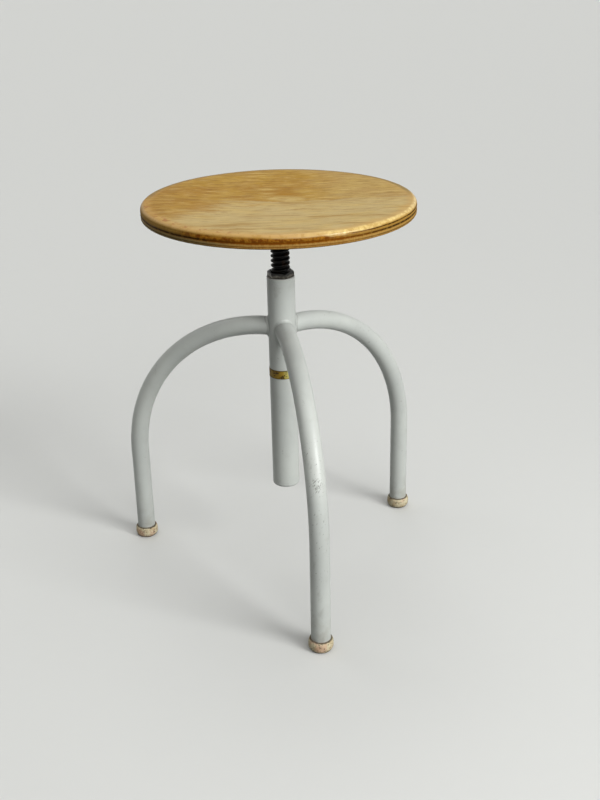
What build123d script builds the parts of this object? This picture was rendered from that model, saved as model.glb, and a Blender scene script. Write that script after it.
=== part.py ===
from build123d import *
import math
import os

# A screw stool: a round plywood seat on a threaded spindle, which turns up and down in a
# nut at the top of a tubular column on three bent tube legs.
# Millimetres. The floor is z = 0, the column's axis is Z and the front leg points along -Y.

# legs
leg_names = ["front", "right", "left"]
front_leg_angle = -90.0  # degrees about Z, from +X
foot_circle_radius = 233.0
hub_height = 365.0  # floor to the legs' axes where they meet the column
leg_diameter = 26.0
leg_wall = 2.0
leg_lead_in = 15.0  # column axis to the start of the bend

# column
column_diameter = 38.0
column_wall = 3.0
column_above_hub = 72.5
column_below_hub = 239.5
cap_thickness = 5.5
cap_edge_radius = 4.0
cap_plug_length = 8.0
cap_play = 0.1  # plug to bore, on the radius

# welds between the legs and the column, and between the spindle and its plate
weld_size = 5.0
weld_gap = 0.1

# marker band on the column
band_below_hub = 58.0  # legs' axes to the band's upper edge
band_height = 12.5
band_thickness = 0.4
band_play = 0.05

# feet
foot_height = 16.5  # floor to the leg's cut end
foot_base_diameter = 26.0
foot_bulge_diameter = 33.5
foot_bulge_height = 7.5
foot_top_diameter = 28.0
foot_stem_length = 24.0
foot_stem_play = 0.15
foot_stem_chamfer = 2.0

# thread
thread_diameter = 26.0
thread_depth = 3.0
thread_pitch = 6.5  # right hand, one start
thread_flank_angle = 30.0  # degrees from level
thread_play = 0.3  # nut to spindle, on the radius

# spindle nut
nut_head_height = 7.0
nut_head_chamfer = 1.0
nut_mouth_chamfer = 1.0
nut_length_in_column = 38.0
nut_play = 0.05
nut_head_turn = 8.7  # degrees, from two flats facing along X

# seat height above its lowest position, as modelled
turns_raised = 10
lowest_gap = 2.5  # shank to nut at the lowest position

# spindle ends
shank_length = 8.0
tenon_diameter = 18.0
tenon_play = 0.1
neck_diameter = 14.0
stud_diameter = 12.0
stud_length = 12.0
stud_chamfer = 1.0
stud_end_gap = 5.0  # stud to cap at the lowest position

# stop washer and its nut
washer_thickness = 4.0
washer_side_play = 0.3  # washer to bore and to neck, on the radius
washer_end_play = 0.3
stop_nut_width = 19.0  # across flats
stop_nut_height = 10.0
stop_nut_play = 0.05

# seat plate and its screws
plate_diameter = 130.0
plate_thickness = 5.0
plate_chamfer = 1.0
screw_count = 4
screw_circle_radius = 50.0
first_screw_angle = 45.0  # degrees about Z, from +X
screw_diameter = 5.0
screw_head_diameter = 9.6
screw_head_height = 3.0
screw_head_rounding = 1.5
screw_slot_width = 1.25
screw_slot_depth = 1.5
screw_depth_in_seat = 9.0
screw_hole_play = 0.25
screw_seat_play = 0.05

# seat board
seat_diameter = 360.0
seat_thickness = 18.0
seat_top_edge_radius = 7.0
seat_bottom_edge_radius = 3.0
dish_depth = 4.5
dish_diameter = 300.0

# places along the column
column_radius = column_diameter / 2
column_bore = column_radius - column_wall
column_top = hub_height + column_above_hub
column_bottom = hub_height - column_below_hub
tube_bottom = column_bottom + cap_thickness
nut_top = column_top + nut_head_height
nut_bottom = column_top - nut_length_in_column

# places along the spindle
seat_raised = turns_raised * thread_pitch
shank_bottom = nut_top + lowest_gap + seat_raised
plate_bottom = shank_bottom + shank_length
seat_bottom = plate_bottom + plate_thickness
stud_bottom = tube_bottom + cap_plug_length + stud_end_gap + seat_raised
neck_bottom = stud_bottom + stud_length
neck_length = washer_thickness + 2 * washer_end_play
thread_bottom = neck_bottom + neck_length
washer_bottom = neck_bottom + washer_end_play


def rod(diameter, low, high):
    """A round bar on the column's axis, from one height to another."""
    base = (Align.CENTER, Align.CENTER, Align.MIN)
    return Pos(0, 0, low) * Cylinder(diameter / 2, high - low, align=base)


def hexagon_bar(across_flats, low, high):
    """A hexagon bar on the column's axis, with two flats facing along X."""
    outline = RegularPolygon(across_flats / 2, 6, major_radius=False, rotation=30)
    return Pos(0, 0, low) * extrude(outline, high - low)


def turned(outline_points, roundings=()):
    """A solid of revolution about Z. Points are (radius, z), and roundings are (corner, radius)."""
    half = Polyline(*[(r, 0, z) for r, z in outline_points], close=True)
    section = make_face(half)
    for corner, radius in roundings:
        r, z = outline_points[corner]
        nearest = section.vertices().sort_by_distance((r, 0, z))[0]
        section = fillet(nearest, radius)
    return revolve(section, Axis.Z)


def round_thread(low, high):
    """A round thread and its plain run-out, as rings: a stand-in for the helix, with the same section."""
    flank = math.radians(thread_flank_angle)
    sharp_height = thread_pitch / 2 / math.tan(flank)
    cut_off = (sharp_height - thread_depth) / 2  # by the rounding at each crest and root
    rounding = cut_off / (1 / math.sin(flank) - 1)
    crest = thread_diameter / 2 + cut_off
    rings = int((high - low) / thread_pitch)
    radii = [crest, crest - sharp_height] * (rings + 1) + [crest]
    top = high + thread_pitch / 2
    corners = [(r, 0, top - step * thread_pitch / 2) for step, r in enumerate(radii)]
    side = FilletPolyline(*corners, radius=rounding)
    inside = Polyline(side @ 1, (0, 0, corners[-1][2]), (0, 0, top), side @ 0)
    last_root = high - rings * thread_pitch
    thread = revolve(make_face(side + inside), Axis.Z) & rod(2 * crest, last_root, high)
    return thread + rod(thread_diameter - 2 * thread_depth, low, last_root)


def leg_angle(index):
    return front_leg_angle + index * 360 / len(leg_names)


def seat_board():
    """The plywood disc: rounded rim, spherical dish in the top, blind holes for the screws."""
    radius, top = seat_diameter / 2, seat_bottom + seat_thickness
    outline = [(0, seat_bottom), (radius, seat_bottom), (radius, top), (0, top)]
    board = turned(outline, [(1, seat_bottom_edge_radius), (2, seat_top_edge_radius)])
    sphere_radius = ((dish_diameter / 2) ** 2 + dish_depth**2) / (2 * dish_depth)
    board -= Pos(0, 0, top - dish_depth + sphere_radius) * Sphere(sphere_radius)
    hole = screw_diameter + 2 * screw_seat_play
    hole_top = seat_bottom + screw_depth_in_seat + screw_seat_play
    return board - screw_places(rod(hole, seat_bottom, hole_top))


def screw_places(piece):
    """Copies of a piece on the axis, moved to the screws' places."""
    places = PolarLocations(screw_circle_radius, screw_count, first_screw_angle)
    return [place * piece for place in places]


def seat_plate():
    plate = rod(plate_diameter, plate_bottom, seat_bottom)
    plate = chamfer(plate.edges().group_by(Axis.Z)[0], plate_chamfer)
    plate -= rod(tenon_diameter + 2 * tenon_play, plate_bottom, seat_bottom)
    hole = screw_diameter + 2 * screw_hole_play
    return plate - screw_places(rod(hole, plate_bottom, seat_bottom))


def seat_screws():
    """Pan-head wood screws, heads under the plate."""
    head_bottom = plate_bottom - screw_head_height
    head = rod(screw_head_diameter, head_bottom, plate_bottom)
    head = fillet(head.edges().group_by(Axis.Z)[0], screw_head_rounding)
    head -= Pos(0, 0, head_bottom) * Box(screw_head_diameter, screw_slot_width, 2 * screw_slot_depth)
    screw = head + rod(screw_diameter, plate_bottom, seat_bottom + screw_depth_in_seat)
    return Compound(screw_places(screw))


def spindle():
    """Tenon in the plate, plain shank, round thread, neck for the washer and stud for its nut."""
    thread = round_thread(thread_bottom, shank_bottom)
    upper = rod(thread_diameter, shank_bottom, plate_bottom)
    upper += rod(tenon_diameter, plate_bottom, seat_bottom)
    lower = rod(stud_diameter, stud_bottom, neck_bottom)
    lower = chamfer(lower.edges().group_by(Axis.Z)[0], stud_chamfer)
    lower += rod(neck_diameter, neck_bottom, thread_bottom)
    return upper + thread + lower


def spindle_weld():
    """The bead between the shank and the plate, with a sloping face."""
    inner = thread_diameter / 2 + weld_gap
    size = min(weld_size, shank_length - lowest_gap)
    outline = [(inner, plate_bottom - size), (inner + size, plate_bottom), (inner, plate_bottom)]
    return turned(outline)


def spindle_nut():
    """A bush in the column with a chamfered hexagon head, bored to clear the thread's crests."""
    across_flats = 2 * column_bore
    head = Rot(0, 0, nut_head_turn) * hexagon_bar(across_flats, column_top, nut_top)
    corner = across_flats / math.sqrt(3)
    rim = corner - nut_head_chamfer * math.sqrt(3)
    chamfered = [(0, column_top), (corner, column_top), (corner, nut_top - nut_head_chamfer), (rim, nut_top)]
    head &= turned(chamfered + [(0, nut_top)])
    nut = head + rod(2 * (column_bore - nut_play), nut_bottom, column_top)
    bore = thread_diameter / 2 + thread_play
    mouth = bore + nut_mouth_chamfer
    bored = [(0, nut_bottom), (bore, nut_bottom), (bore, nut_top - nut_mouth_chamfer), (mouth, nut_top)]
    return nut - turned(bored + [(0, nut_top)])


def column_tube():
    tube = rod(column_diameter, tube_bottom, column_top)
    return tube - rod(2 * column_bore, tube_bottom, column_top)


def column_cap():
    """The closed lower end: a disc with a rounded rim and a plug in the bore."""
    disc = rod(column_diameter, column_bottom, tube_bottom)
    disc = fillet(disc.edges().group_by(Axis.Z)[0], cap_edge_radius)
    return disc + rod(2 * (column_bore - cap_play), tube_bottom, tube_bottom + cap_plug_length)


def stop_washer():
    outer = 2 * (column_bore - washer_side_play)
    washer = rod(outer, washer_bottom, washer_bottom + washer_thickness)
    inner = neck_diameter + 2 * washer_side_play
    return washer - rod(inner, washer_bottom, washer_bottom + washer_thickness)


def stop_nut():
    low = neck_bottom - stop_nut_height
    return hexagon_bar(stop_nut_width, low, neck_bottom) - rod(
        stud_diameter + 2 * stop_nut_play, low, neck_bottom
    )


def marker_band():
    """A band of tape round the column."""
    high = hub_height - band_below_hub
    low = high - band_height
    inner = column_diameter + 2 * band_play
    return rod(inner + 2 * band_thickness, low, high) - rod(inner, low, high)


def leg_path():
    """The front leg's centre line: level out of the column, a quarter bend, straight down to the foot."""
    bend_radius = foot_circle_radius - leg_lead_in
    bend_end = hub_height - bend_radius
    out = Line((0, 0, hub_height), (leg_lead_in, 0, hub_height))
    bend = TangentArc(out @ 1, (foot_circle_radius, 0, bend_end), tangent=(1, 0, 0))
    down = Line(bend @ 1, (foot_circle_radius, 0, foot_height))
    return Wire([out, bend, down])


def leg_bar(diameter):
    """A solid bar along the leg's centre line, in the XZ plane."""
    return sweep(Plane.YZ * Pos(0, hub_height) * Circle(diameter / 2), path=leg_path())


def leg():
    """One leg, coped round the column, pointing along +X."""
    tube = leg_bar(leg_diameter) - leg_bar(leg_diameter - 2 * leg_wall)
    reach = leg_diameter
    return tube - rod(column_diameter + 2 * weld_gap, hub_height - reach, hub_height + reach)


def leg_weld():
    """The fillet of weld round one leg's end, pointing along +X."""
    reach = leg_diameter / 2 + 2 * weld_size
    joined = rod(column_diameter, hub_height - reach, hub_height + reach) + leg_bar(leg_diameter)
    seam = [edge for edge in joined.edges() if is_seam(edge)]
    bead = fillet(seam, weld_size) - leg_bar(leg_diameter + 2 * weld_gap)
    return bead - rod(column_diameter + 2 * weld_gap, hub_height - reach, hub_height + reach)


def is_seam(edge):
    """Is this edge where the leg's and the column's round faces meet?"""
    middle = edge @ 0.5
    on_column = abs(math.hypot(middle.X, middle.Y) - column_radius) < weld_gap
    return on_column and abs(middle.Z - hub_height) < leg_diameter / 2 + weld_size


def foot():
    """A rubber foot under a leg's end, with its stem up the tube, on the axis."""
    base, bulge, top = foot_base_diameter / 2, foot_bulge_diameter / 2, foot_top_diameter / 2
    widest, shoulder = (bulge, 0, foot_bulge_height), (top, 0, foot_height)
    lower_side = TangentArc(widest, (base, 0, 0), tangent=(0, 0, -1))
    upper_side = Bezier(widest, (bulge, 0, foot_height), shoulder)
    stem = leg_diameter / 2 - leg_wall - foot_stem_play
    stem_top = foot_height + foot_stem_length
    stem_side = [shoulder, (stem, 0, foot_height), (stem, 0, stem_top), (0, 0, stem_top)]
    middle = Polyline(*stem_side, (0, 0, 0), (base, 0, 0))
    body = revolve(make_face(lower_side + upper_side + middle), Axis.Z)
    return chamfer(body.edges().group_by(Axis.Z)[-1], foot_stem_chamfer)


def write(name, shape):
    """One STEP file for each node."""
    shape.label = name
    export_step(shape, f"parts/{name}.step")


os.makedirs("parts", exist_ok=True)
write("seat_board", seat_board())
write("seat_plate", seat_plate())
write("seat_screws", seat_screws())
write("spindle", spindle())
write("spindle_weld", spindle_weld())
write("spindle_nut", spindle_nut())
write("column_tube", column_tube())
write("column_cap", column_cap())
write("stop_washer", stop_washer())
write("stop_nut", stop_nut())
write("marker_band", marker_band())

one_leg, one_weld, one_foot = leg(), leg_weld(), foot()
for index, place in enumerate(leg_names):
    turn = Rot(0, 0, leg_angle(index))
    write(f"leg_{place}", turn * one_leg)
    write(f"leg_weld_{place}", turn * one_weld)
    write(f"foot_{place}", turn * Pos(foot_circle_radius, 0, 0) * one_foot)
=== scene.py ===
import math
import bmesh
import bpy
from mathutils import Euler, Matrix, Vector


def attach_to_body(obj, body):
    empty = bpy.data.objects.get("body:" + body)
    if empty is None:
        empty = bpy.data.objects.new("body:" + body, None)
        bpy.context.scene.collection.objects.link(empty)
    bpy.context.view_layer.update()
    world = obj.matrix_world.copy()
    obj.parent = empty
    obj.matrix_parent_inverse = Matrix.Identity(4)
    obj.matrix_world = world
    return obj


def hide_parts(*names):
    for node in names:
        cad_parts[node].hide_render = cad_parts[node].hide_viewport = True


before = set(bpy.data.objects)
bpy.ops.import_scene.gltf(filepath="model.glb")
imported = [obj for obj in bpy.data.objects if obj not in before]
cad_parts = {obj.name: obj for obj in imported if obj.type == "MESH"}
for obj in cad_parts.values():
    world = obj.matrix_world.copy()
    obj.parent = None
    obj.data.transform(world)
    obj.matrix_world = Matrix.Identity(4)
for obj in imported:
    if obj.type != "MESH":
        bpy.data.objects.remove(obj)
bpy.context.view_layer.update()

# A screw stool: floor at z = 0, column on Z, front leg along -Y. Lengths are in millimetres, and mm()
# makes them metres. Each piece has its values and its screen colours in a dictionary beside its code.

hair = 0.01  # a length too short to matter, for telling places apart


def mm(*lengths):
    made = [length / 1000 for length in lengths]
    return made[0] if len(made) == 1 else tuple(made)


def linear(red, green, blue):  # a screen colour, 0 to 255, as the shader wants it
    return tuple((part / 255) ** 2.2 for part in (red, green, blue)) + (1.0,)


def shadesOf(colours):
    return {name: linear(*colour) for name, colour in colours.items()}


def reachesOf(spans):
    return {name: mm(*span) for name, span in spans.items()}


class Wire:  # an output socket that can be used in a formula
    def __init__(self, finish, socket):
        self.finish = finish
        self.socket = socket

    def __add__(self, other):
        return self.finish.calc("ADD", self, other)

    def __sub__(self, other):
        return self.finish.calc("SUBTRACT", self, other)

    def __rsub__(self, other):
        return self.finish.calc("SUBTRACT", other, self)

    def __mul__(self, other):
        return self.finish.calc("MULTIPLY", self, other)

    def __truediv__(self, other):
        return self.finish.calc("DIVIDE", self, other)

    __radd__ = __add__
    __rmul__ = __mul__


class Finish:  # one material and the nodes behind it
    def __init__(self, name, **constants):
        self.material = bpy.data.materials.new(name)
        self.material.use_nodes = True
        self.nodes = self.material.node_tree.nodes
        self.links = self.material.node_tree.links
        self.shader = self.nodes["Principled BSDF"]
        for socket, value in constants.items():
            self.shader.inputs[socket.replace("_", " ")].default_value = value
        self.place = self.node("ShaderNodeTexCoord", output="Object")

    def feed(self, socket, value):
        if isinstance(value, Wire):
            self.links.new(value.socket, socket)
        else:
            socket.default_value = value

    def node(self, kind, settings=None, values=None, output=0):
        made = self.nodes.new(kind)
        for name, value in (settings or {}).items():
            setattr(made, name, value)
        for name, value in (values or {}).items():
            self.feed(made.inputs[name], value)
        return Wire(self, made.outputs[output])

    def calc(self, operation, first, second=0.0):
        return self.node("ShaderNodeMath", {"operation": operation}, {0: first, 1: second})

    def away(self, value):  # from zero, to either side
        return self.calc("ABSOLUTE", value)

    def most(self, first, second):
        return self.calc("MAXIMUM", first, second)

    def distance(self, across, along):  # from the origin, in a plane
        return self.calc("SQRT", across * across + along * along)

    def mapped(self, turn=(0, 0, 0), stretch=(1, 1, 1), shift=(0, 0, 0), of=None):
        values = {"Vector": of or self.place, "Rotation": turn, "Scale": stretch, "Location": shift}
        return self.node("ShaderNodeMapping", values=values)

    def noise(self, scale, detail=3.0, rough=0.5, distort=0.0, at=None, shift=None):
        vector = at or self.place
        if shift is not None:
            vector = self.mapped(shift=shift, of=vector)
        values = {"Vector": vector, "Scale": scale, "Detail": detail}
        values.update({"Roughness": rough, "Distortion": distort})
        return self.node("ShaderNodeTexNoise", values=values)

    def cells(self, scale, output="Distance"):
        return self.node("ShaderNodeTexVoronoi", values={"Vector": self.place, "Scale": scale}, output=output)

    def rise(self, value, low, high, start=0.0, end=1.0):  # smooth step from start to end
        settings = {"interpolation_type": "SMOOTHSTEP"}
        values = {"Value": value, "From Min": low, "From Max": high, "To Min": start, "To Max": end}
        return self.node("ShaderNodeMapRange", settings, values)

    def fall(self, value, low, high, start=1.0):  # smooth step down to zero
        return self.rise(value, low, high, start, 0.0)

    def axes(self, at=None):
        split = self.node("ShaderNodeSeparateXYZ", values={"Vector": at or self.place})
        return [Wire(self, split.socket.node.outputs[index]) for index in range(3)]

    def blend(self, mask, under, over):
        return self.node("ShaderNodeMix", {"data_type": "RGBA"}, {0: mask, 6: under, 7: over}, output=2)

    def layers(self, colour, *coats):  # colours laid one over another, each through its mask
        for mask, over in coats:
            colour = self.blend(mask, colour, over)
        return colour

    def finishWith(self, colour, roughness, height, depth, metallic=None, coat=None):
        self.feed(self.shader.inputs["Base Color"], colour)
        self.feed(self.shader.inputs["Roughness"], roughness)
        if metallic is not None:
            self.feed(self.shader.inputs["Metallic"], metallic)
        if coat is not None:
            self.feed(self.shader.inputs["Coat Weight"], coat)
        bump = self.node("ShaderNodeBump", values={"Height": height, "Distance": depth, "Strength": 1.0})
        self.feed(self.shader.inputs["Normal"], bump)
        return self.material


def selectOnly(piece):
    bpy.ops.object.select_all(action="DESELECT")
    piece.select_set(True)
    bpy.context.view_layer.objects.active = piece


def edit(piece):  # opens it with all of it selected
    selectOnly(piece)
    bpy.ops.object.mode_set(mode="EDIT")
    bpy.ops.mesh.select_mode(type="VERT")
    bpy.ops.mesh.select_all(action="SELECT")


def leaveEdit():
    bpy.ops.object.mode_set(mode="OBJECT")


def choose(piece, kind, test):  # in edit mode, selects only what passes the test
    bpy.ops.mesh.select_all(action="DESELECT")
    bpy.ops.mesh.select_mode(type=kind)
    shape = bmesh.from_edit_mesh(piece.data)
    for item in {"EDGE": shape.edges, "FACE": shape.faces}[kind]:
        if test(item):
            item.select_set(True)
    shape.select_flush_mode()
    bmesh.update_edit_mesh(piece.data)


def closeUp():  # in edit mode
    bpy.ops.mesh.select_all(action="SELECT")
    bpy.ops.mesh.remove_doubles(threshold=mm(hair / 2))
    bpy.ops.mesh.normals_make_consistent(inside=False)


def applyAll(piece):
    selectOnly(piece)
    for modifier in list(piece.modifiers):
        bpy.ops.object.modifier_apply(modifier=modifier.name)


def settle(piece, sharp=35):  # place into the mesh, smooth except at corners sharper than this
    selectOnly(piece)
    bpy.ops.object.transform_apply(location=True, rotation=True, scale=True)
    bpy.ops.object.shade_smooth_by_angle(angle=math.radians(sharp))


def draw(name, profile):  # a line through points of (radius, z), left in edit mode
    bpy.ops.object.select_all(action="DESELECT")
    bpy.ops.mesh.primitive_plane_add(size=mm(1), location=(0, 0, 0))
    piece = bpy.context.object
    piece.name = name
    edit(piece)
    bpy.ops.mesh.merge(type="CENTER")
    here = Vector((mm(profile[0][0]), 0, mm(profile[0][1])))
    bpy.ops.transform.translate(value=here)
    for radius, z in profile[1:]:
        there = Vector((mm(radius), 0, mm(z)))
        bpy.ops.mesh.extrude_vertices_move(TRANSFORM_OT_translate={"value": there - here})
        here = there
    return piece


def lathe(name, profile, around):  # spins a profile about Z
    piece = draw(name, profile)
    bpy.ops.mesh.select_all(action="SELECT")
    bpy.ops.mesh.spin(steps=around, angle=2 * math.pi, center=(0, 0, 0), axis=(0, 0, 1))
    closeUp()
    leaveEdit()
    return piece


def arc(centre, radius, start, end, count):  # points of a profile, angles in degrees
    turns = [math.radians(start + (end - start) * step / count) for step in range(count + 1)]
    return [(centre[0] + radius * math.cos(turn), centre[1] + radius * math.sin(turn)) for turn in turns]


def line(start, end, count):  # points after the start, up to the end
    shares = [step / count for step in range(1, count + 1)]
    return [tuple(a + (b - a) * share for a, b in zip(start, end)) for share in shares]


def curve(start, control, end, count):  # the same along a curve drawn towards the control point
    shares = [step / count for step in range(1, count + 1)]
    weights = [((1 - share) ** 2, 2 * share * (1 - share), share ** 2) for share in shares]
    return [tuple(a * i + b * j + c * k for i, j, k in zip(start, control, end)) for a, b, c in weights]


def roughen(piece, size, amount, where, middle=0.5, direction="NORMAL"):  # lumps in the mesh itself
    texture = bpy.data.textures.new(f"{piece.name}_{size}", "CLOUDS")
    texture.noise_scale = mm(size)
    group = piece.vertex_groups.new(name="lumpy")
    group.add([vert.index for vert in piece.data.vertices if where(vert.co)], 1.0, "REPLACE")
    lumps = piece.modifiers.new("lumps", "DISPLACE")
    lumps.texture = texture
    lumps.strength = mm(amount)
    lumps.mid_level = middle
    lumps.direction = direction
    lumps.vertex_group = group.name
    applyAll(piece)
    piece.vertex_groups.clear()


def copyOf(node, name):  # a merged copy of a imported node
    piece = bpy.data.objects.new(name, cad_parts[node].data.copy())
    bpy.context.scene.collection.objects.link(piece)
    piece.data.materials.clear()
    edit(piece)
    bpy.ops.mesh.remove_doubles(threshold=mm(hair / 5))
    leaveEdit()
    return piece


def cloneOf(piece, name, turn):  # the same piece turned about the column
    clone = piece.copy()
    clone.data = piece.data.copy()
    clone.name = name
    bpy.context.scene.collection.objects.link(clone)
    clone.parent = None  # it rides on its own
    clone.rotation_euler = (0, 0, math.radians(turn))
    return clone


def attach(piece, body, material, node):
    piece.data.materials.clear()
    piece.data.materials.append(material)
    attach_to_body(piece, body)
    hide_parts(node)


seat = {
    "radius": 180, "bottom": 525, "top": 543, "topEdge": 7, "bottomEdge": 3, "around": 256,
    "topEdgeSteps": 30, "bottomEdgeSteps": 10, "sideSteps": 26, "undersideSteps": 12, "flatSteps": 5,
    "dishRadius": 150, "dishDepth": 4.5, "dishSteps": 26, "waves": 0.5, "waveSize": 110, "sharp": 40,
    "glueLines": ((528.2, 1.2, 0.65), (532.9, 1.9, 0.95), (537.3, 1.2, 1.0)),  # height, half width, darkness
    "grooveDepth": 0.3, "grooveFall": 1.4, "grainTurn": 10.7,
    "figures": {  # repeats in a metre along and across the grain, and detail
        "broad": (7, 44, 4.0), "streaks": (17, 130, 4.0), "dashes": (38, 300, 3.0),
        "fine": (50, 700, 4.0), "pores": (110, 1100, 2.0),
    },
    "stain": (8, 38), "stainTail": (-48, 27),  # centres, along and across the grain
    "rings": {"rubbedRim": (162, 172), "backRim": (167.5, 171), "edge": (173.8, 177)},  # from the middle
    "heights": {  # where each begins and where it is full
        "brown": (541, 536), "shade": (538, 533), "lowest": (532, 530.5),
        "shoulder": (538.6, 541.6), "backRim": (538, 541),
    },
    "sides": {  # the same along the grain, where the right is positive
        "right": (20, 75), "upperGlue": (75, 105), "farRight": (100, 130), "wornRight": (20, 85),
        "left": (-30, -120), "polished": (-30, 30), "bruises": (20, -100),
    },
    "frontAt": 20, "handledAt": -14,  # the middle of the front, and of what hands have browned
    "frontReach": (20, 45), "frontGlueReach": (60, 110), "handledReach": (65, 120),  # to either side of it
    "wornUpTo": 12, "wornFade": (-18, 28), "wornLessFrom": -30,
    "faceColours": {
        "lacquer": (172, 133, 46), "deepLacquer": (160, 116, 33), "worn": (194, 172, 122),
        "mottle": (204, 172, 98), "broad": (148, 108, 38), "darkStreaks": (138, 100, 40),
        "paleStreaks": (214, 188, 124), "darkDashes": (128, 92, 34), "paleDashes": (218, 190, 128),
        "fine": (132, 96, 40), "pores": (92, 60, 22), "stain": (156, 110, 6), "stainTail": (146, 104, 30),
        "rubbedRim": (194, 154, 92), "bruises": (150, 88, 52), "backRim": (132, 112, 66),
    },
    "edgeColours": {
        "plies": (160, 122, 56), "leftShadedPlies": (152, 118, 58), "brown": (112, 60, 10),
        "paleBrown": (162, 108, 32), "shade": (96, 64, 20), "patches": (118, 78, 34),
        "lowest": (172, 134, 72), "leftShadedLowest": (138, 120, 80), "fibres": (98, 66, 26),
        "gold": (190, 152, 92), "rightGoldSheen": (206, 176, 108), "goldFlecks": (168, 128, 60),
        "paintedGlints": (232, 208, 134), "glue": (48, 30, 2), "frontGlue": (112, 62, 2),
    },
    "undersideColours": {"wood": (160, 122, 74), "figure": (122, 86, 46), "blotches": (104, 78, 50)},
}


def seatProfile():
    bottom, top, radius = seat["bottom"], seat["top"], seat["radius"]
    low, high = seat["bottomEdge"], seat["topEdge"]
    rim = arc((radius - low, bottom + low), low, -90, 0, seat["bottomEdgeSteps"])
    rim += line(rim[-1], (radius, top - high), seat["sideSteps"])
    rim += arc((radius - high, top - high), high, 0, 90, seat["topEdgeSteps"])[1:]
    grooved = []
    for r, z in rim:
        falls = [((z - ply) / width * seat["grooveFall"]) ** 2 for ply, width, _ in seat["glueLines"]]
        grooved.append((r - seat["grooveDepth"] * sum(math.exp(-fall) for fall in falls), z))
    ball = (seat["dishRadius"] ** 2 + seat["dishDepth"] ** 2) / (2 * seat["dishDepth"])
    middle = top - seat["dishDepth"] + ball
    rings = [seat["dishRadius"] * (1 - step / seat["dishSteps"]) for step in range(seat["dishSteps"] + 1)]
    dish = [(r, middle - math.sqrt(ball ** 2 - r ** 2)) for r in rings]
    below = [(0, bottom)] + line((0, bottom), rim[0], seat["undersideSteps"])[:-1]
    return below + grooved + line(rim[-1], dish[0], seat["flatSteps"]) + dish[1:]


def woodPatterns(wood):  # kept on the finish for its colours; u runs along the grain and v across it
    along = wood.mapped(turn=(0, 0, math.radians(seat["grainTurn"])))
    wood.u, wood.v, _ = wood.axes(along)
    x, y, wood.z = wood.axes()
    wood.out = wood.distance(x, y)
    drift = wood.noise(9.0, 3.0, at=along) - 0.5
    grain = wood.node("ShaderNodeCombineXYZ", values={"X": wood.u, "Y": wood.v + drift * 0.016, "Z": 0.0})

    def figure(name):
        lengthwise, crosswise, detail = seat["figures"][name]
        stretched = wood.mapped(stretch=(lengthwise, crosswise, 1), of=grain)
        return wood.noise(1.0, detail, 0.6, 0.15, at=stretched)

    wood.broad, wood.streaks = figure("broad"), figure("streaks")
    wood.dashes, wood.fine = figure("dashes"), figure("fine")
    wood.pores = wood.rise(figure("pores"), 0.62, 0.72)
    wood.blotch = wood.noise(11.0, 4.0, 0.6, 0.6)
    wood.mottle = wood.noise(38.0, 4.0, 0.6, 0.3, at=wood.mapped(stretch=(0.6, 1.4, 1), of=along))
    wood.fibres = wood.noise(1.0, 3.0, 0.7, at=wood.mapped(stretch=(520, 520, 170)))
    wood.patches = wood.noise(22.0, 4.0, 0.65)
    wood.flecks = wood.noise(150.0, 3.0, 0.65, shift=(2, 0, 5))


def wornLacquer(wood):  # rubbed thin from the front up to the middle, and half as much at the right
    ragged = (wood.broad - 0.5) * 0.12 + (wood.streaks - 0.5) * 0.2 + (wood.mottle - 0.5) * 0.1
    toLeft = wood.calc("MINIMUM", wood.u - mm(seat["wornLessFrom"]), 0.0)
    limit = mm(seat["wornUpTo"]) - toLeft * toLeft * 9.0
    atFront = wood.rise((limit - wood.v + ragged) / (1 - toLeft * 14), *mm(*seat["wornFade"]))
    return wood.most(atFront, wood.rise(wood.u + ragged, *mm(*seat["sides"]["wornRight"])) * 0.45)


def faceColour(wood, worn):
    shades = shadesOf(seat["faceColours"])
    lump = (wood.mottle - 0.5) * 0.03 + (wood.dashes - 0.5) * 0.02
    (stainU, stainV), (tailU, tailV) = mm(*seat["stain"]), mm(*seat["stainTail"])
    stain = wood.distance((wood.u - stainU) * 0.9, (wood.v - stainV) * 0.75) + lump
    tail = wood.distance((wood.u - tailU) * 0.3, wood.v - tailV) + lump * 0.6
    rubbedRim = wood.rise(wood.out + (wood.mottle - 0.5) * 0.016, *mm(*seat["rings"]["rubbedRim"]))
    bruises = wood.rise(wood.noise(120.0, 3.0, 0.6), 0.52, 0.62) * rubbedRim
    bruises = bruises * wood.rise(wood.u, *mm(*seat["sides"]["bruises"]))
    return wood.layers(
        wood.blend(wood.rise(wood.blotch, 0.36, 0.64), shades["lacquer"], shades["deepLacquer"]),
        (worn * 0.9, shades["worn"]),
        (wood.rise(wood.mottle, 0.45, 0.7) * 0.35, shades["mottle"]),
        (wood.rise(wood.broad, 0.5, 0.66) * 0.5, shades["broad"]),
        (wood.rise(wood.streaks, 0.52, 0.66) * (0.42 - worn * 0.16), shades["darkStreaks"]),
        (wood.rise(wood.streaks, 0.46, 0.34) * (0.4 - worn * 0.14), shades["paleStreaks"]),
        (wood.rise(wood.dashes, 0.54, 0.64) * (0.65 - worn * 0.3), shades["darkDashes"]),
        (wood.rise(wood.dashes, 0.44, 0.34) * 0.35, shades["paleDashes"]),
        (wood.rise(wood.fine, 0.5, 0.75) * 0.35, shades["fine"]),
        (wood.pores * (0.5 - worn * 0.15), shades["pores"]),
        (wood.fall(stain, 0.004, 0.02) * 0.8, shades["stain"]),
        (wood.fall(tail, 0.002, 0.008) * 0.6, shades["stainTail"]),
        (rubbedRim * 0.45, shades["rubbedRim"]),
        (bruises * 0.6, shades["bruises"]),
    )


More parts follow.
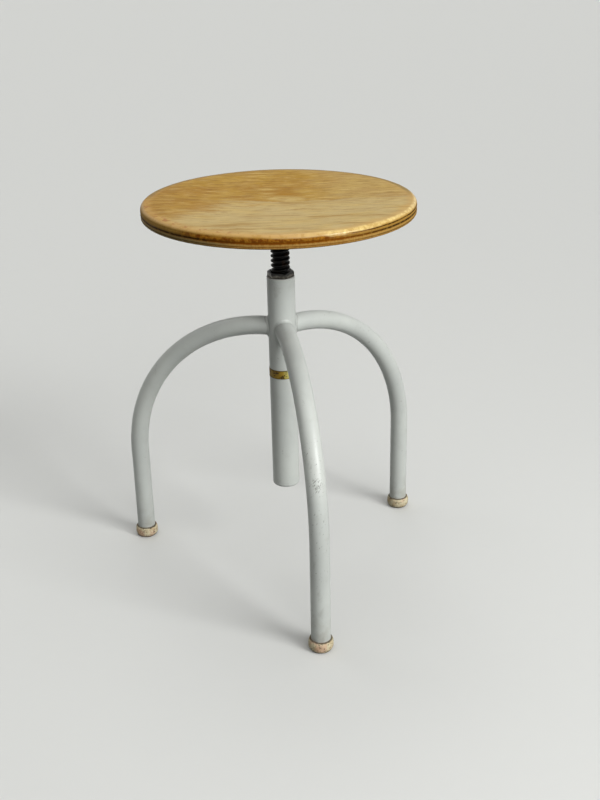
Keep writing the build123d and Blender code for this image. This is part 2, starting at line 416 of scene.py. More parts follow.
def edgeColour(wood, loose):  # plies between glue lines, brown with use at the front, gold with a painted highlight at the right and painted shade at the left
    shades = shadesOf(seat["edgeColours"])
    heights, sides = reachesOf(seat["heights"]), reachesOf(seat["sides"])
    front, handledAt = mm(seat["frontAt"], seat["handledAt"])
    wobble = wood.noise(1.0, 3.0, 0.6, at=wood.mapped(stretch=(60, 60, 10))) - 0.5
    height = wood.z + wobble * mm(0.9) + (wood.fibres - 0.5) * mm(0.8)
    toRight = wood.rise(wood.u + loose, *sides["right"])
    farRight = wood.rise(wood.u + loose, *sides["farRight"])
    atLeft = wood.rise(wood.u + loose, *sides["left"])
    handled = wood.fall(wood.away(wood.u - handledAt) + loose, *mm(*seat["handledReach"]))
    atFront = wood.fall(wood.away(wood.u - front), *mm(*seat["frontReach"]))
    ragged = height + (wood.flecks - 0.5) * mm(5) + (wood.patches - 0.5) * mm(5)
    brown = wood.blend(wood.rise(wood.flecks, 0.4, 0.6), shades["brown"], shades["paleBrown"])
    # painted shade: the lowest ply darker and greyer at the left, the side away from the lamps
    lowest = wood.blend(atLeft, shades["lowest"], shades["leftShadedLowest"])
    lowered = toRight * mm(3) - farRight * mm(2.4) + (1 - toRight) * atFront * mm(1.6)
    shoulder = wood.rise(height + lowered, *heights["shoulder"])
    # painted highlight: the gold shoulder is paler at the right and has pale glints there, where the lamps
    # catch it
    gold = wood.layers(
        wood.blend(toRight, shades["gold"], shades["rightGoldSheen"]),
        (wood.rise(wood.flecks, 0.5, 0.6) * 0.45, shades["goldFlecks"]),
        (wood.rise(wood.flecks, 0.46, 0.38) * toRight * 0.5, shades["paintedGlints"]),
    )
    # painted shade: the plies darker at the left, and darker low down except at the right
    colour = wood.layers(
        wood.blend(atLeft, shades["plies"], shades["leftShadedPlies"]),
        (handled * wood.rise(ragged, *heights["brown"]), brown),
        (wood.rise(height, *heights["shade"]) * (1 - toRight) * 0.35, shades["shade"]),
        (wood.rise(wood.patches, 0.54, 0.66) * toRight * 0.6, shades["patches"]),
        (wood.rise(height, *heights["lowest"]) * 0.85, lowest),
        (wood.rise(wood.fibres, 0.4, 0.75) * 0.4, shades["fibres"]),
        (shoulder, gold),
    )
    nearFront = wood.fall(wood.away(wood.u - front) + loose, *mm(*seat["frontGlueReach"]))
    glue = wood.blend(nearFront, shades["glue"], shades["frontGlue"])
    unfaded = 1 - wood.rise(wood.flecks, 0.5, 0.66) * 0.4
    for ply, width, darkness in seat["glueLines"]:
        dark = wood.fall(wood.away(height - mm(ply)), mm(width * 0.25), mm(width), darkness)
        if ply > seat["top"] - seat["topEdge"]:  # the highest line shows only at the right
            dark = dark * toRight * wood.rise(wood.u + loose, *sides["upperGlue"])
        colour = wood.blend(dark * unfaded, colour, glue)
    return colour, shoulder


def plywoodFinish():
    wood = Finish("lacqueredPlywood", Coat_Roughness=0.2, Specular_IOR_Level=0.08)
    woodPatterns(wood)
    loose = (wood.patches - 0.5) * 0.1
    worn = wornLacquer(wood)
    edge, shoulder = edgeColour(wood, loose)
    shades, rings = shadesOf(seat["undersideColours"]), reachesOf(seat["rings"])
    below = wood.layers(
        wood.blend(wood.rise(wood.broad, 0.4, 0.75) * 0.6, shades["wood"], shades["figure"]),
        (wood.rise(wood.blotch, 0.45, 0.7) * 0.4, shades["blotches"]),
    )
    onEdge = wood.rise(wood.out + (wood.mottle - 0.5) * 0.003, *rings["edge"])
    backRim = wood.rise(wood.out + (wood.mottle - 0.5) * 0.006, *rings["backRim"])
    backRim = backRim * wood.rise(wood.v, -0.01, 0.04) * wood.rise(wood.z, *mm(*seat["heights"]["backRim"]))
    under = wood.fall(wood.z, mm(seat["bottom"] + 0.2), mm(seat["bottom"] + 1.2))
    colour = wood.layers(
        faceColour(wood, worn),
        (onEdge, edge),
        (backRim * 0.75, linear(*seat["faceColours"]["backRim"])),
        (under, below),
    )
    roughness = 0.5 + worn * 0.1 + (wood.fine - 0.5) * 0.2 + under * 0.25 + (wood.mottle - 0.5) * 0.15
    roughness = roughness + onEdge * (1 - shoulder) * 0.2
    relief = wood.fine * 0.15 + wood.streaks * 0.04 - wood.pores * 0.4 + wood.mottle * 0.09
    relief = relief + onEdge * (wood.fibres + wood.flecks * 2)
    polished = wood.rise(wood.u + loose, *mm(*seat["sides"]["polished"]))
    coat = (1 - under) * (0.03 - worn * 0.02 + onEdge * shoulder * (0.2 + polished * 0.5))
    return wood.finishWith(colour, roughness, relief, mm(0.16), coat=coat)


def makeSeat():
    board = lathe("seat_board_top", seatProfile(), seat["around"])
    above = mm(seat["bottom"] + seat["bottomEdge"])
    roughen(board, seat["waveSize"], seat["waves"], lambda spot: spot.z > above, direction="Z")
    settle(board, seat["sharp"])
    attach(board, "seat", plywoodFinish(), "seat_board")


makeSeat()
print("seat board made")


leg = {
    "diameter": 26, "wall": 2, "hub": 365, "footCircle": 233, "leadIn": 15, "cutEnd": 16.5,
    "around": 64, "bendSteps": 72, "straightSteps": 8, "startInside": 9, "lip": 0.5, "lipSteps": 3,
    "cope": 19.1, "copeHeight": 60, "copeAround": 128, "weldSwell": 0.14, "weldSharp": 50,
    "weldToe": 24.1, "toeOval": 1.385,  # where the weld ends on the leg, as a stretched circle
    "turns": {"front": -90, "right": 30, "left": 150},
}

paintLook = {
    "roughness": 0.34,
    "frontLeg": (-190, -200),  # along Y, what is past it is the front leg alone
    "scratches": (70, 160), "scratchTurn": -30,  # the heights where they thicken, and their slant
    "patchHeight": 237, "patchFade": (4, 14),  # the worst of the scratches
    "mouthWear": (436.4, 437.2), "mouthRing": (19.5, 21), "footDirt": (18, 75),
    "columnFace": (19.6, 20.2), "creaseHeight": (20, 17), "creaseFade": (0.2, 1.1),
    "colours": {
        "paint": (194, 198, 192), "greyer": (184, 188, 183), "mottle": (166, 168, 160),
        "rubbed": (128, 126, 118), "specks": (104, 98, 88), "footDirt": (148, 142, 126),
        "smudges": (120, 118, 108), "chips": (92, 90, 84), "creaseShade": (104, 102, 96), "wear": (190, 190, 184),
    },
}


def weldCreaseShade(paint, x, y, z, peel):  # painted shade: a dark line round each leg at the toe of its weld
    creaseShade = 0.0
    for turn in leg["turns"].values():
        cosine, sine = math.cos(math.radians(turn)), math.sin(math.radians(turn))
        forward, aside = x * cosine + y * sine, y * cosine - x * sine
        reach = paint.distance(forward, aside * leg["toeOval"]) + (peel - 0.5) * mm(0.8)
        near = paint.fall(paint.away(reach - mm(leg["weldToe"])), *mm(*paintLook["creaseFade"]))
        creaseShade = creaseShade + near * paint.rise(forward, 0.0, mm(4))
    level = paint.away(z - mm(leg["hub"]))
    offColumn = paint.rise(paint.distance(x, y), *mm(*paintLook["columnFace"]))
    return creaseShade * paint.rise(level, *mm(*paintLook["creaseHeight"])) * offColumn


def frontLegMarks(paint, x, y, z, cloud):  # slanting scratches, most of them in one patch, and smudges
    slanted = paint.mapped(turn=(0, math.radians(paintLook["scratchTurn"]), 0))
    strokes = paint.noise(1.0, 3.0, 0.6, at=paint.mapped(stretch=(600, 600, 180), of=slanted))
    onLeg = paint.rise(y, *mm(*paintLook["frontLeg"]))
    patch = paint.distance(x * 1.3 + mm(2), z - mm(paintLook["patchHeight"]))
    patch = paint.fall(patch, *mm(*paintLook["patchFade"])) * paint.rise(y, *mm(-200, -210))
    highUp = paint.rise(z + (cloud - 0.5) * 0.1, *mm(*paintLook["scratches"]))
    chips = paint.rise(strokes, 0.645, 0.69) * (onLeg * highUp)
    chips = paint.most(chips, paint.rise(strokes + patch * 0.1, 0.6, 0.66) * patch)
    leaning = paint.mapped(stretch=(90, 90, 40), of=paint.mapped(turn=(0, -0.4, 0)))
    smudges = paint.rise(paint.noise(1.0, 4.0, 0.6, 0.3, at=leaning), 0.56, 0.7)
    return chips, smudges * onLeg * paint.rise(x, *mm(4, -2))


def paintFinish():
    paint = Finish("greyPaint")
    shades = shadesOf(paintLook["colours"])
    x, y, z = paint.axes()
    cloud = paint.noise(9.0, 4.0, 0.55)
    mottle = paint.noise(60.0, 4.0, 0.6)
    peel = paint.noise(420.0, 2.0, 0.5)
    scuffPlace = paint.mapped(stretch=(1.0, 1.0, 0.35))
    rubbed = paint.rise(paint.noise(46.0, 5.0, 0.7, 0.5, at=scuffPlace, shift=(3.1, 1.7, 0.4)), 0.62, 0.72)
    specks = paint.rise(paint.noise(210.0, 3.0, 0.6, shift=(1.2, 4.5, 2.2)), 0.67, 0.73)
    specks = specks * paint.rise(paint.noise(18.0, 3.0, 0.6), 0.46, 0.62)
    chips, smudges = frontLegMarks(paint, x, y, z, cloud)
    # painted shade round the toe of each weld
    creaseShade = weldCreaseShade(paint, x, y, z, peel)
    footDirt = paint.fall(z + (mottle - 0.5) * 0.03, *mm(*paintLook["footDirt"]))
    legEnd = paint.fall(z, mm(leg["cutEnd"] + 0.6), mm(leg["cutEnd"] + 1.6))
    mouth = paint.rise(z, *mm(*paintLook["mouthWear"]))
    mouth = mouth * paint.fall(paint.distance(x, y), *mm(*paintLook["mouthRing"]))
    bared = legEnd + mouth
    wear = paint.rise(paint.noise(130.0, 3.0, 0.6, shift=(7.0, 0, 0)) + bared * 0.42, 0.62, 0.7)
    colour = paint.layers(
        paint.blend(paint.rise(cloud, 0.35, 0.65), shades["paint"], shades["greyer"]),
        (paint.rise(mottle, 0.5, 0.8) * 0.25, shades["mottle"]),
        (rubbed * 0.25, shades["rubbed"]),
        (specks * 0.5, shades["specks"]),
        (footDirt * paint.rise(mottle, 0.35, 0.7) * 0.4, shades["footDirt"]),
        (smudges * 0.22, shades["smudges"]),
        (chips * 0.6, shades["chips"]),
        (creaseShade * 0.3, shades["creaseShade"]),
        (wear * bared, shades["wear"]),
    )
    roughness = paintLook["roughness"] + (mottle - 0.5) * 0.16
    roughness = roughness + rubbed * 0.18 + specks * 0.2 + footDirt * 0.15
    height = peel * 0.25 + mottle * 0.5 - specks * 0.5 - chips * 0.6 - creaseShade * 0.5
    return paint.finishWith(colour, roughness, height, mm(0.05))


greyPaint = paintFinish()


def attachPainted(piece, node, sharp=35):
    settle(piece, sharp)
    attach(piece, "base", greyPaint, node)


def makeLeg():  # the front one, still along X, to be turned to its place
    radius, bend = leg["diameter"] / 2, leg["footCircle"] - leg["leadIn"]
    bpy.ops.object.select_all(action="DESELECT")
    start = mm(leg["startInside"], 0, leg["hub"])
    bpy.ops.mesh.primitive_circle_add(
        vertices=leg["around"], radius=mm(radius), location=start, rotation=(0, math.pi / 2, 0))
    piece = bpy.context.object
    piece.name = "leg_front_tube"
    settle(piece)
    edit(piece)
    lead = mm(leg["leadIn"] - leg["startInside"])
    bpy.ops.mesh.extrude_region_move(TRANSFORM_OT_translate={"value": (lead, 0, 0)})
    centre = mm(leg["leadIn"], 0, leg["hub"] - bend)
    bpy.ops.mesh.spin(steps=leg["bendSteps"], angle=math.pi / 2, center=centre, axis=(0, -1, 0))
    drop = mm(leg["hub"] - bend - leg["cutEnd"]) / leg["straightSteps"]
    for _ in range(leg["straightSteps"]):
        bpy.ops.mesh.extrude_region_move(TRANSFORM_OT_translate={"value": (0, 0, -drop)})
    closeUp()
    leaveEdit()
    walls = piece.modifiers.new("walls", "SOLIDIFY")
    walls.thickness = mm(leg["wall"])
    walls.offset = -1
    applyAll(piece)
    softenEnd(piece, radius)
    copeEnd(piece)
    return piece


def softenEnd(piece, radius):  # a small bevel round the outside of the tube's open end
    axis, midWall, end = mm(leg["footCircle"]), mm(radius - leg["wall"] / 2), mm(leg["cutEnd"] + hair)

    def onLip(vert):
        return vert.co.z < end and math.hypot(vert.co.x - axis, vert.co.y) > midWall

    edit(piece)
    choose(piece, "EDGE", lambda edge: all(onLip(vert) for vert in edge.verts))
    bpy.ops.mesh.bevel(offset=mm(leg["lip"]), segments=leg["lipSteps"])
    leaveEdit()


def copeEnd(piece):  # cuts the tube's other end to the column
    bpy.ops.object.select_all(action="DESELECT")
    bpy.ops.mesh.primitive_cylinder_add(
        vertices=leg["copeAround"], radius=mm(leg["cope"]), depth=mm(leg["copeHeight"]),
        location=mm(0, 0, leg["hub"]))
    cutter = bpy.context.object
    cope = piece.modifiers.new("cope", "BOOLEAN")
    cope.object = cutter
    cope.operation = "DIFFERENCE"
    applyAll(piece)
    bpy.data.objects.remove(cutter)


def makeFrontWeld():
    weld = copyOf("leg_weld_front", "leg_weld_front_bead")
    edit(weld)
    bpy.ops.transform.shrink_fatten(value=mm(leg["weldSwell"]))
    leaveEdit()
    attachPainted(weld, "leg_weld_front", leg["weldSharp"])
    return weld


def makeLegs():  # the other legs' tubes and welds are turned copies of the front ones
    tube, weld, front = makeLeg(), makeFrontWeld(), leg["turns"]["front"]
    for place, turn in leg["turns"].items():
        if place != "front":
            otherTube = cloneOf(tube, f"leg_{place}_tube", turn)
            attachPainted(otherTube, f"leg_{place}")
            otherWeld = cloneOf(weld, f"leg_weld_{place}_bead", turn - front)
            attachPainted(otherWeld, f"leg_weld_{place}", leg["weldSharp"])
    tube.rotation_euler = (0, 0, math.radians(front))
    attachPainted(tube, "leg_front")


makeLegs()
print("legs made")


column = {
    "radius": 19, "bore": 16, "top": 437.5, "bottom": 125.5, "capThickness": 5.5, "capEdge": 4,
    "plug": 8, "plugPlay": 0.1, "mouthBevel": 0.5, "seamBevel": 0.25, "around": 128,
    "sideSteps": 40, "mouthSteps": 4, "capSteps": 4, "capEdgeSteps": 12,
}


def makeColumn():
    radius, bore, top, bottom = (column[key] for key in ("radius", "bore", "top", "bottom"))
    mouth, seam = column["mouthBevel"], column["seamBevel"]
    low = bottom + column["capThickness"]
    profile = [(bore, low), (radius - seam, low), (radius, low + seam)]
    profile += line(profile[-1], (radius, top - mouth), column["sideSteps"])
    profile += arc((radius - mouth, top - mouth), mouth, 0, 90, column["mouthSteps"])[1:]
    profile += [(bore, top), (bore, low)]
    attachPainted(lathe("column_tube_painted", profile, column["around"]), "column_tube")
    edge, plug = column["capEdge"], bore - column["plugPlay"]
    profile = [(0, bottom)] + line((0, bottom), (radius - edge, bottom), column["capSteps"])
    profile += arc((radius - edge, bottom + edge), edge, -90, 0, column["capEdgeSteps"])[1:]
    profile += [(radius, low - seam), (radius - seam, low), (plug, low), (plug, low + column["plug"])]
    profile += [(0, low + column["plug"])]
    attachPainted(lathe("column_cap_painted", profile, column["around"]), "column_cap")


makeColumn()
print("column made")


band = {
    "inner": 19.05, "thickness": 0.4, "top": 307, "height": 12.5, "around": 180, "sideSteps": 10,
    "lapFrom": 95, "lapTo": 113, "lap": 0.3, "creases": 0.18, "creaseSize": 5, "creaseMiddle": 0.7,
    "paintedLitSide": (4, 14), "dirtyEdge": (0.3, 1.8),
    "colours": {
        "tape": (146, 118, 40), "rubbed": (112, 86, 34), "paintedLitSide": (184, 174, 96),
        "marks": (48, 34, 8), "frayAndGlints": (206, 200, 124), "edges": (76, 66, 34),
    },
}


def tapeFinish():
    tape = Finish("wornTape", Specular_IOR_Level=0.25)
    shades = shadesOf(band["colours"])
    x, y, z = tape.axes()
    frayAndGlints = tape.noise(240.0, 4.0, 0.7)
    marks = tape.noise(1.0, 3.0, 0.6, at=tape.mapped(stretch=(190, 190, 230), shift=(5, 3, 1)))
    rub = tape.noise(70.0, 4.0, 0.6, shift=(0, 3, 1))
    toLamps = x - y * 0.6 + (rub - 0.5) * 0.012  # painted light: paler round to the front and right, where the lamps are
    paintedLitSide = tape.rise(toLamps, *mm(*band["paintedLitSide"]))
    toEdge = tape.calc("PINGPONG", z - mm(band["top"] - band["height"]), mm(band["height"]) / 2)
    edges = tape.fall(toEdge + (frayAndGlints - 0.5) * 0.004, *mm(*band["dirtyEdge"]))
    # painted light: the lit side paler, with pale glints on its frayed threads
    colour = tape.layers(
        tape.blend(tape.rise(rub, 0.4, 0.65), shades["tape"], shades["rubbed"]),
        (paintedLitSide, shades["paintedLitSide"]),
        (tape.rise(marks, 0.52, 0.6) * 0.85, shades["marks"]),
        (tape.rise(frayAndGlints, 0.55, 0.7) * 0.5 * paintedLitSide, shades["frayAndGlints"]),
        (edges * 0.75, shades["edges"]),
    )
    roughness = 0.5 + (rub - 0.5) * 0.3
    return tape.finishWith(colour, roughness, frayAndGlints + marks * 0.5, mm(0.1))


def makeBand():
    inner, high = band["inner"], band["top"]
    outer, low = inner + band["thickness"], high - band["height"]
    profile = [(inner, low), (outer, low)] + line((outer, low), (outer, high), band["sideSteps"])
    ring = lathe("marker_band_tape", profile + [(inner, high), (inner, low)], band["around"])
    middle = (inner + outer) / 2

    def underLap(face):
        spot = face.calc_center_median()
        turn = math.degrees(math.atan2(spot.y, spot.x)) % 360
        return band["lapFrom"] < turn < band["lapTo"] and spot.xy.length > mm(middle + outer) / 2

    edit(ring)
    choose(ring, "FACE", underLap)
    bpy.ops.mesh.extrude_region_move()
    bpy.ops.transform.shrink_fatten(value=mm(band["lap"]))
    leaveEdit()
    outside = mm(middle)
    roughen(ring, band["creaseSize"], band["creases"],
            lambda spot: spot.xy.length > outside, middle=band["creaseMiddle"])
    settle(ring)
    attach(ring, "base", tapeFinish(), "marker_band")


makeBand()
print("band made")


foot = {
    "base": 13, "bulge": 16.75, "bulgeHeight": 7.5, "top": 14, "height": 16.5,
    "stem": 10.85, "stemTop": 40.5, "stemChamfer": 2, "around": 144, "sharp": 60,
    "baseSteps": 10, "roundSteps": 18, "topSteps": 4, "stemSteps": 6,
    "lumps": 0.8, "lumpSize": 9, "pits": 0.9, "pitSize": 1.8, "lumpMiddle": 0.6,
    "roughFrom": 1.2, "roughMargin": 1,  # the tread and the stem stay smooth
    "tread": (0.8, 3.6), "creaseShade": (15.2, 16.2),  # darker at the bottom, and painted shade where the foot meets the tube
    "colours": {
        "rubber": (204, 194, 162), "stains": (180, 162, 128), "patches": (196, 154, 128),
        "grit": (140, 124, 94), "pocks": (76, 60, 40), "holes": (52, 40, 26),
        "tread": (38, 34, 26), "creaseShade": (44, 40, 32),
    },
}


def rubberFinish():
    rubber = Finish("oldRubber")
    shades = shadesOf(foot["colours"])
    height = rubber.axes()[2]
    stains = rubber.noise(90.0, 4.0, 0.65, 0.4)
    patches = rubber.noise(55.0, 3.0, 0.6, shift=(2, 5, 1))
    grit = rubber.noise(420.0, 3.0, 0.7)
    holes = rubber.rise(rubber.noise(300.0, 2.0, 0.5, shift=(4, 2, 0)), 0.61, 0.67)
    pocks = rubber.fall(rubber.cells(300.0), 0.12, 0.34)
    pocks = pocks * rubber.rise(rubber.noise(120.0, 2.0, shift=(0, 6, 0)), 0.46, 0.58)
    tread = rubber.fall(height + (stains - 0.5) * 0.003, *mm(*foot["tread"]))
    # painted shade where the foot meets the tube
    creaseShade = rubber.rise(height + (stains - 0.5) * 0.0012, *mm(*foot["creaseShade"]))
    colour = rubber.layers(
        rubber.blend(rubber.rise(stains, 0.42, 0.6), shades["rubber"], shades["stains"]),
        (rubber.rise(patches, 0.5, 0.64) * 0.6, shades["patches"]),
        (rubber.rise(grit, 0.5, 0.75) * 0.55, shades["grit"]),
        (pocks * 0.75, shades["pocks"]),
        (holes * 0.8, shades["holes"]),
        (tread * 0.85, shades["tread"]),
        (creaseShade * 0.8, shades["creaseShade"]),
    )
    roughness = 0.8 + (grit - 0.5) * 0.25
    relief = grit * 0.5 - pocks * 0.8 - holes
    return rubber.finishWith(colour, roughness, relief, mm(0.3))


def footProfile():
    base, bulge, middle = foot["base"], foot["bulge"], foot["bulgeHeight"]
    top, height = foot["top"], foot["height"]
    stem, stemTop, chamfer = foot["stem"], foot["stemTop"], foot["stemChamfer"]
    swell = ((bulge - base) ** 2 + middle ** 2) / (2 * (bulge - base))  # radius of the rounded side
    start = math.degrees(math.asin(-middle / swell))
    profile = [(0, 0)] + line((0, 0), (base, 0), foot["baseSteps"])
    profile += arc((bulge - swell, middle), swell, start, 0, foot["roundSteps"])[1:]
    profile += curve((bulge, middle), (bulge, height), (top, height), foot["roundSteps"])
    profile += line((top, height), (stem, height), foot["topSteps"])
    profile += line((stem, height), (stem, stemTop - chamfer), foot["stemSteps"])
    return profile + [(stem - chamfer, stemTop), (0, stemTop)]


def makeFeet():
    rubber, profile = rubberFinish(), footProfile()
    low, high, inside = mm(foot["roughFrom"], foot["height"] + hair, foot["base"] + foot["roughMargin"])
    for place, turn in leg["turns"].items():
        piece = lathe(f"foot_{place}_rubber", profile, foot["around"])
        angle = math.radians(turn)
        axis = Vector((math.cos(angle), math.sin(angle))) * mm(leg["footCircle"])
        piece.location = (*axis, 0)
        settle(piece, foot["sharp"])
        outside = lambda spot: low < spot.z < high and (spot.xy - axis).length > inside
        roughen(piece, foot["lumpSize"], foot["lumps"], outside, middle=foot["lumpMiddle"])
        roughen(piece, foot["pitSize"], foot["pits"], outside, middle=foot["lumpMiddle"])
        attach(piece, "base", rubber, f"foot_{place}")


makeFeet()
print("feet made")


spindle = {
    "crest": 13, "root": 10, "crestRound": 1.9, "pitch": 6.5, "flank": 30, "crestStart": 215.5, "turns": 46,
    "around": 72, "crestSteps": 5, "rootSteps": 4, "core": 9.5, "stud": 6, "studChamfer": 1, "neck": 7,
    "tenon": 9, "studLow": 209, "neckLow": 221, "threadLow": 225.6, "threadHigh": 512, "shankHigh": 520,
    "tenonHigh": 525, "lumps": 0.35, "lumpSize": 3, "lumpMiddle": 0.8, "sharp": 50,
    "colours": {"grease": (5, 4, 3), "brown": (34, 22, 12), "dust": (78, 54, 34)},
}


def greaseFinish():
    grease = Finish("greasedSteel", Specular_IOR_Level=0.14)
    shades = shadesOf(spindle["colours"])
    smear = grease.noise(120.0, 4.0, 0.65, 0.5)
    film = grease.noise(420.0, 3.0, 0.6)
    brown = grease.rise(smear + (film - 0.5) * 0.3, 0.52, 0.68)
    colour = grease.layers(
        grease.blend(brown, shades["grease"], shades["brown"]),
        (grease.rise(film, 0.62, 0.76) * 0.3, shades["dust"]),
    )
    roughness = 0.38 + (smear - 0.5) * 0.4
    return grease.finishWith(colour, roughness, smear + film * 0.4, mm(0.15), metallic=brown * 0.2)


def threadProfile():  # one pitch of a round thread, from crest to crest
    crest, root, pitch, low = (spindle[key] for key in ("crest", "root", "pitch", "crestStart"))
    crestRound, steps, turn = spindle["crestRound"], spindle["crestSteps"], 90 - spindle["flank"]
    flank = math.radians(spindle["flank"])
    roundings = (pitch / 2 / math.tan(flank) - (crest - root)) / (1 / math.sin(flank) - 1)
    rootRound = roundings - crestRound
    valley = (root + rootRound, low + pitch / 2)
    profile = arc((crest - crestRound, low), crestRound, 0, turn, steps)
    profile += arc(valley, rootRound, 180 + turn, 180 - turn, spindle["rootSteps"])
    return profile + arc((crest - crestRound, low + pitch), crestRound, -turn, 0, steps)


def makeThread():
    piece = draw("spindle_thread", threadProfile())
    leaveEdit()
    helix = piece.modifiers.new("helix", "SCREW")
    helix.screw_offset = mm(spindle["pitch"])
    helix.iterations = spindle["turns"]
    helix.steps = helix.render_steps = spindle["around"]
    helix.use_merge_vertices = True
    helix.merge_threshold = mm(hair)
    applyAll(piece)
    edit(piece)
    closeUp()
    for z, below in ((spindle["threadLow"], True), (spindle["threadHigh"], False)):  # cut off both ends
        bpy.ops.mesh.select_all(action="SELECT")
        bpy.ops.mesh.bisect(
            plane_co=(0, 0, mm(z)), plane_no=(0, 0, 1), use_fill=True,
            clear_inner=below, clear_outer=not below)
    closeUp()
    leaveEdit()
    return piece


def barOutline():  # stud, neck, the core inside the thread, shank and tenon
    stud, chamfer, neck, core = (spindle[key] for key in ("stud", "studChamfer", "neck", "core"))
    studLow, neckLow, shankHigh = (spindle[key] for key in ("studLow", "neckLow", "shankHigh"))
    low, high = spindle["threadLow"], spindle["threadHigh"]
    outline = [(0, studLow), (stud - chamfer, studLow), (stud, studLow + chamfer), (stud, neckLow)]
    outline += [(neck, neckLow), (neck, low), (core, low), (core, high), (spindle["crest"], high)]
    outline += [(spindle["crest"], shankHigh), (spindle["tenon"], shankHigh)]
    return outline + [(spindle["tenon"], spindle["tenonHigh"]), (0, spindle["tenonHigh"])]


def makeSpindle():
    piece, bar = makeThread(), lathe("spindle_bar", barOutline(), spindle["around"])
    selectOnly(piece)
    bar.select_set(True)
    bpy.ops.object.join()
    piece.name = "spindle_greased"
    high = mm(spindle["threadHigh"])
    roughen(piece, spindle["lumpSize"], spindle["lumps"],
            lambda spot: spot.z < high, middle=spindle["lumpMiddle"])
    settle(piece, spindle["sharp"])
    attach(piece, "seat", greaseFinish(), "spindle")


makeSpindle()
print("spindle made")


fittings = {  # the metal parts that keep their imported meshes
    "nut": {
        "greaseFrom": (440.8, 442.6), "boreGrease": (14.5, 16), "seam": (437.9, 438.9),
        "colours": {
            "steel": (112, 108, 100), "smear": (58, 55, 50), "scratch": (150, 146, 138),
            "grease": (12, 10, 8), "seam": (18, 16, 13),
        },
    },
    "plate": {"colours": {"dark": (50, 49, 46), "light": (76, 74, 70), "rust": (92, 58, 36)}},
    "zinc": {"colours": {"zinc": (158, 158, 152), "tarnish": (112, 100, 84), "spangle": (186, 188, 190)}},
}


def nutFinish():
    steel, nut = Finish("nutSteel", Specular_IOR_Level=0.35), fittings["nut"]
    shades = shadesOf(nut["colours"])
    x, y, z = steel.axes()
    smear = steel.noise(140.0, 4.0, 0.65, 0.4)
    blots = steel.noise(70.0, 3.0, 0.6, 0.4, shift=(3, 0, 2))
    scratch = steel.noise(1.0, 3.0, 0.6, at=steel.mapped(stretch=(300, 300, 900)))
    greasy = steel.rise(z + (smear - 0.5) * 0.004 + (blots - 0.5) * 0.006, *mm(*nut["greaseFrom"]))
    greasy = steel.most(greasy, steel.fall(steel.distance(x, y), *mm(*nut["boreGrease"])))
    # painted shade: a dark line at the foot of the nut, where it meets the column
    seam = steel.fall(z + (smear - 0.5) * 0.0006, *mm(*nut["seam"]))
    colour = steel.layers(
        steel.blend(steel.rise(smear, 0.4, 0.62), shades["steel"], shades["smear"]),
        (steel.rise(scratch, 0.55, 0.75) * 0.4, shades["scratch"]),
        (greasy * 0.95, shades["grease"]),
        (seam * 0.9, shades["seam"]),
    )
    roughness = 0.45 + (smear - 0.5) * 0.3
    metallic = 0.6 - greasy * 0.6
    return steel.finishWith(colour, roughness, smear + scratch * 0.3, mm(0.1), metallic=metallic)


def plateFinish():
    steel, shades = Finish("plateSteel"), shadesOf(fittings["plate"]["colours"])
    rust = steel.rise(steel.noise(70.0, 5.0, 0.7, 0.6), 0.55, 0.68)
    grit = steel.noise(500.0, 3.0, 0.6)
    colour = steel.blend(steel.noise(26.0, 4.0, 0.6), shades["dark"], shades["light"])
    colour = steel.blend(rust * 0.5, colour, shades["rust"])
    roughness = 0.5 + rust * 0.25 + (grit - 0.5) * 0.2
    return steel.finishWith(colour, roughness, grit * 0.4 + rust * 0.5, mm(0.08), metallic=0.8 - rust * 0.7)


def zincFinish():
    zinc, shades = Finish("dullZinc"), shadesOf(fittings["zinc"]["colours"])
    spangle = zinc.axes(zinc.cells(600.0, output="Color"))[0]
    cloud = zinc.noise(160.0, 4.0, 0.6)
    tarnish = zinc.rise(cloud, 0.5, 0.7)
    colour = zinc.blend(tarnish * 0.6, shades["zinc"], shades["tarnish"])
    colour = zinc.blend(spangle * 0.15, colour, shades["spangle"])
    return zinc.finishWith(colour, 0.36 + tarnish * 0.3, cloud, mm(0.05), metallic=0.9 - tarnish * 0.4)


def dressNodes(material, *nodes):
    for node in nodes:
        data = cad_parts[node].data
        data.materials.clear()
        data.materials.append(material)


dressNodes(nutFinish(), "spindle_nut")
dressNodes(plateFinish(), "seat_plate", "spindle_weld")
dressNodes(zincFinish(), "seat_screws", "stop_washer", "stop_nut")
print("metal parts dressed")


studio = {
    "floor": (214, 215, 212), "floorGrain": (206, 207, 204), "floorBelow": (80, 82, 81), "floorSize": 60,
    "world": (1.0, 1.0, 0.98), "worldStrength": 0.25, "worldSeen": 0.68,
    "lamps": [  # direction round and above the stool, strength, softness; all angles in degrees
        (-48, 28, 2.0, 28), (-84, 28, 0.7, 30), (0, 88, 0.55, 60), (90, 60, 0.25, 25), (135, 40, 0.2, 30),
    ],
    "lampDistance": 2.5,
    "nearLamp": {"place": (0.8, -1.05, 0.95), "aim": (0, -0.05, 0.35), "power": 4.6, "size": 0.6},
}


def floorFinish():  # pale where it is seen or mirrored, a plain grey to the light that bounces off it
    floor = Finish("paleFloor", Specular_IOR_Level=0.05)
    grain = floor.noise(40.0, 4.0, 0.6)
    pale = floor.blend(grain * 0.15, linear(*studio["floor"]), linear(*studio["floorGrain"]))
    seen = floor.node("ShaderNodeLightPath", output="Is Camera Ray")
    for kind in ("Is Glossy Ray", "Is Transmission Ray"):
        seen = floor.most(seen, floor.node("ShaderNodeLightPath", output=kind))
    colour = floor.blend(seen, linear(*studio["floorBelow"]), pale)
    return floor.finishWith(colour, 0.6 + (grain - 0.5) * 0.1, grain, mm(0.1))


def layFloor():
    bpy.ops.object.select_all(action="DESELECT")
    bpy.ops.mesh.primitive_plane_add(size=studio["floorSize"], location=(0, 0, 0))
    floor = bpy.context.object
    floor.name = "floor"
    floor.data.materials.append(floorFinish())


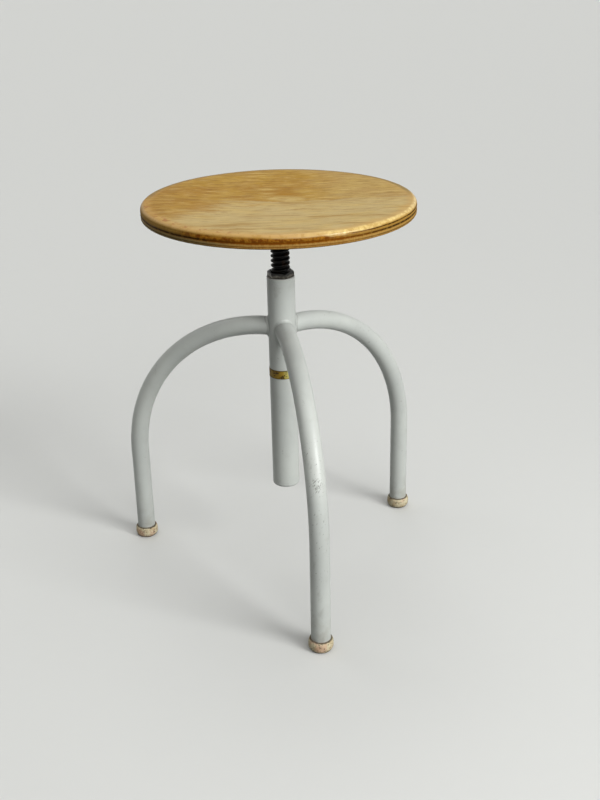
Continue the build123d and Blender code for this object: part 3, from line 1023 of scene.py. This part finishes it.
def hangSky():  # as pale as the floor where it is seen or mirrored
    world = bpy.data.worlds.new("studio")
    bpy.context.scene.world = world
    world.use_nodes = True
    nodes, links = world.node_tree.nodes, world.node_tree.links
    nodes["Background"].inputs["Color"].default_value = (*studio["world"], 1.0)
    rays = nodes.new("ShaderNodeLightPath")
    seen = rays.outputs["Is Camera Ray"]
    for kind in ("Is Glossy Ray", "Is Transmission Ray"):
        highest = nodes.new("ShaderNodeMath")
        highest.operation = "MAXIMUM"
        links.new(seen, highest.inputs[0])
        links.new(rays.outputs[kind], highest.inputs[1])
        seen = highest.outputs[0]
    sky = nodes.new("ShaderNodeMapRange")
    sky.inputs["To Min"].default_value = studio["worldStrength"]
    sky.inputs["To Max"].default_value = studio["worldSeen"]
    links.new(seen, sky.inputs["Value"])
    links.new(sky.outputs[0], nodes["Background"].inputs["Strength"])


def addLamp(around, above, strength, softness):
    turn = Euler([0, math.radians(90 - above), math.radians(around)])
    place = turn.to_matrix() @ Vector((0, 0, studio["lampDistance"]))
    bpy.ops.object.light_add(type="SUN", location=place, rotation=turn)
    bpy.context.object.data.energy = strength
    bpy.context.object.data.angle = math.radians(softness)


def addNearLamp():  # this one fades with distance, from the front leg to the left one
    near = studio["nearLamp"]
    place = Vector(near["place"])
    bpy.ops.object.light_add(type="AREA", location=place)
    lamp = bpy.context.object
    lamp.rotation_euler = (place - Vector(near["aim"])).to_track_quat("Z", "Y").to_euler()
    lamp.data.energy = near["power"]
    lamp.data.size = near["size"]
    lamp.visible_glossy = False  # no glare on the seat from behind


view = {
    "place": (-0.2475, -1.4342, 0.895), "heading": 10.671, "tilt": 23.749, "roll": -1.22,
    "lens": 50.85, "sensor": 36,
}


def placeCamera():
    bpy.ops.object.camera_add(location=view["place"])
    camera = bpy.context.object
    facing = Matrix.Identity(3)
    for turn in ((0, 0, -view["heading"]), (90 - view["tilt"], 0, 0), (0, 0, view["roll"])):
        facing = facing @ Euler([math.radians(angle) for angle in turn]).to_matrix()
    camera.rotation_euler = facing.to_euler()
    camera.data.lens = view["lens"]
    camera.data.sensor_fit = "VERTICAL"
    camera.data.sensor_height = view["sensor"]
    bpy.context.scene.camera = camera


layFloor()
hangSky()
for lamp in studio["lamps"]:
    addLamp(*lamp)
addNearLamp()
placeCamera()
bpy.context.scene.view_settings.view_transform = "Standard"
print("studio set")
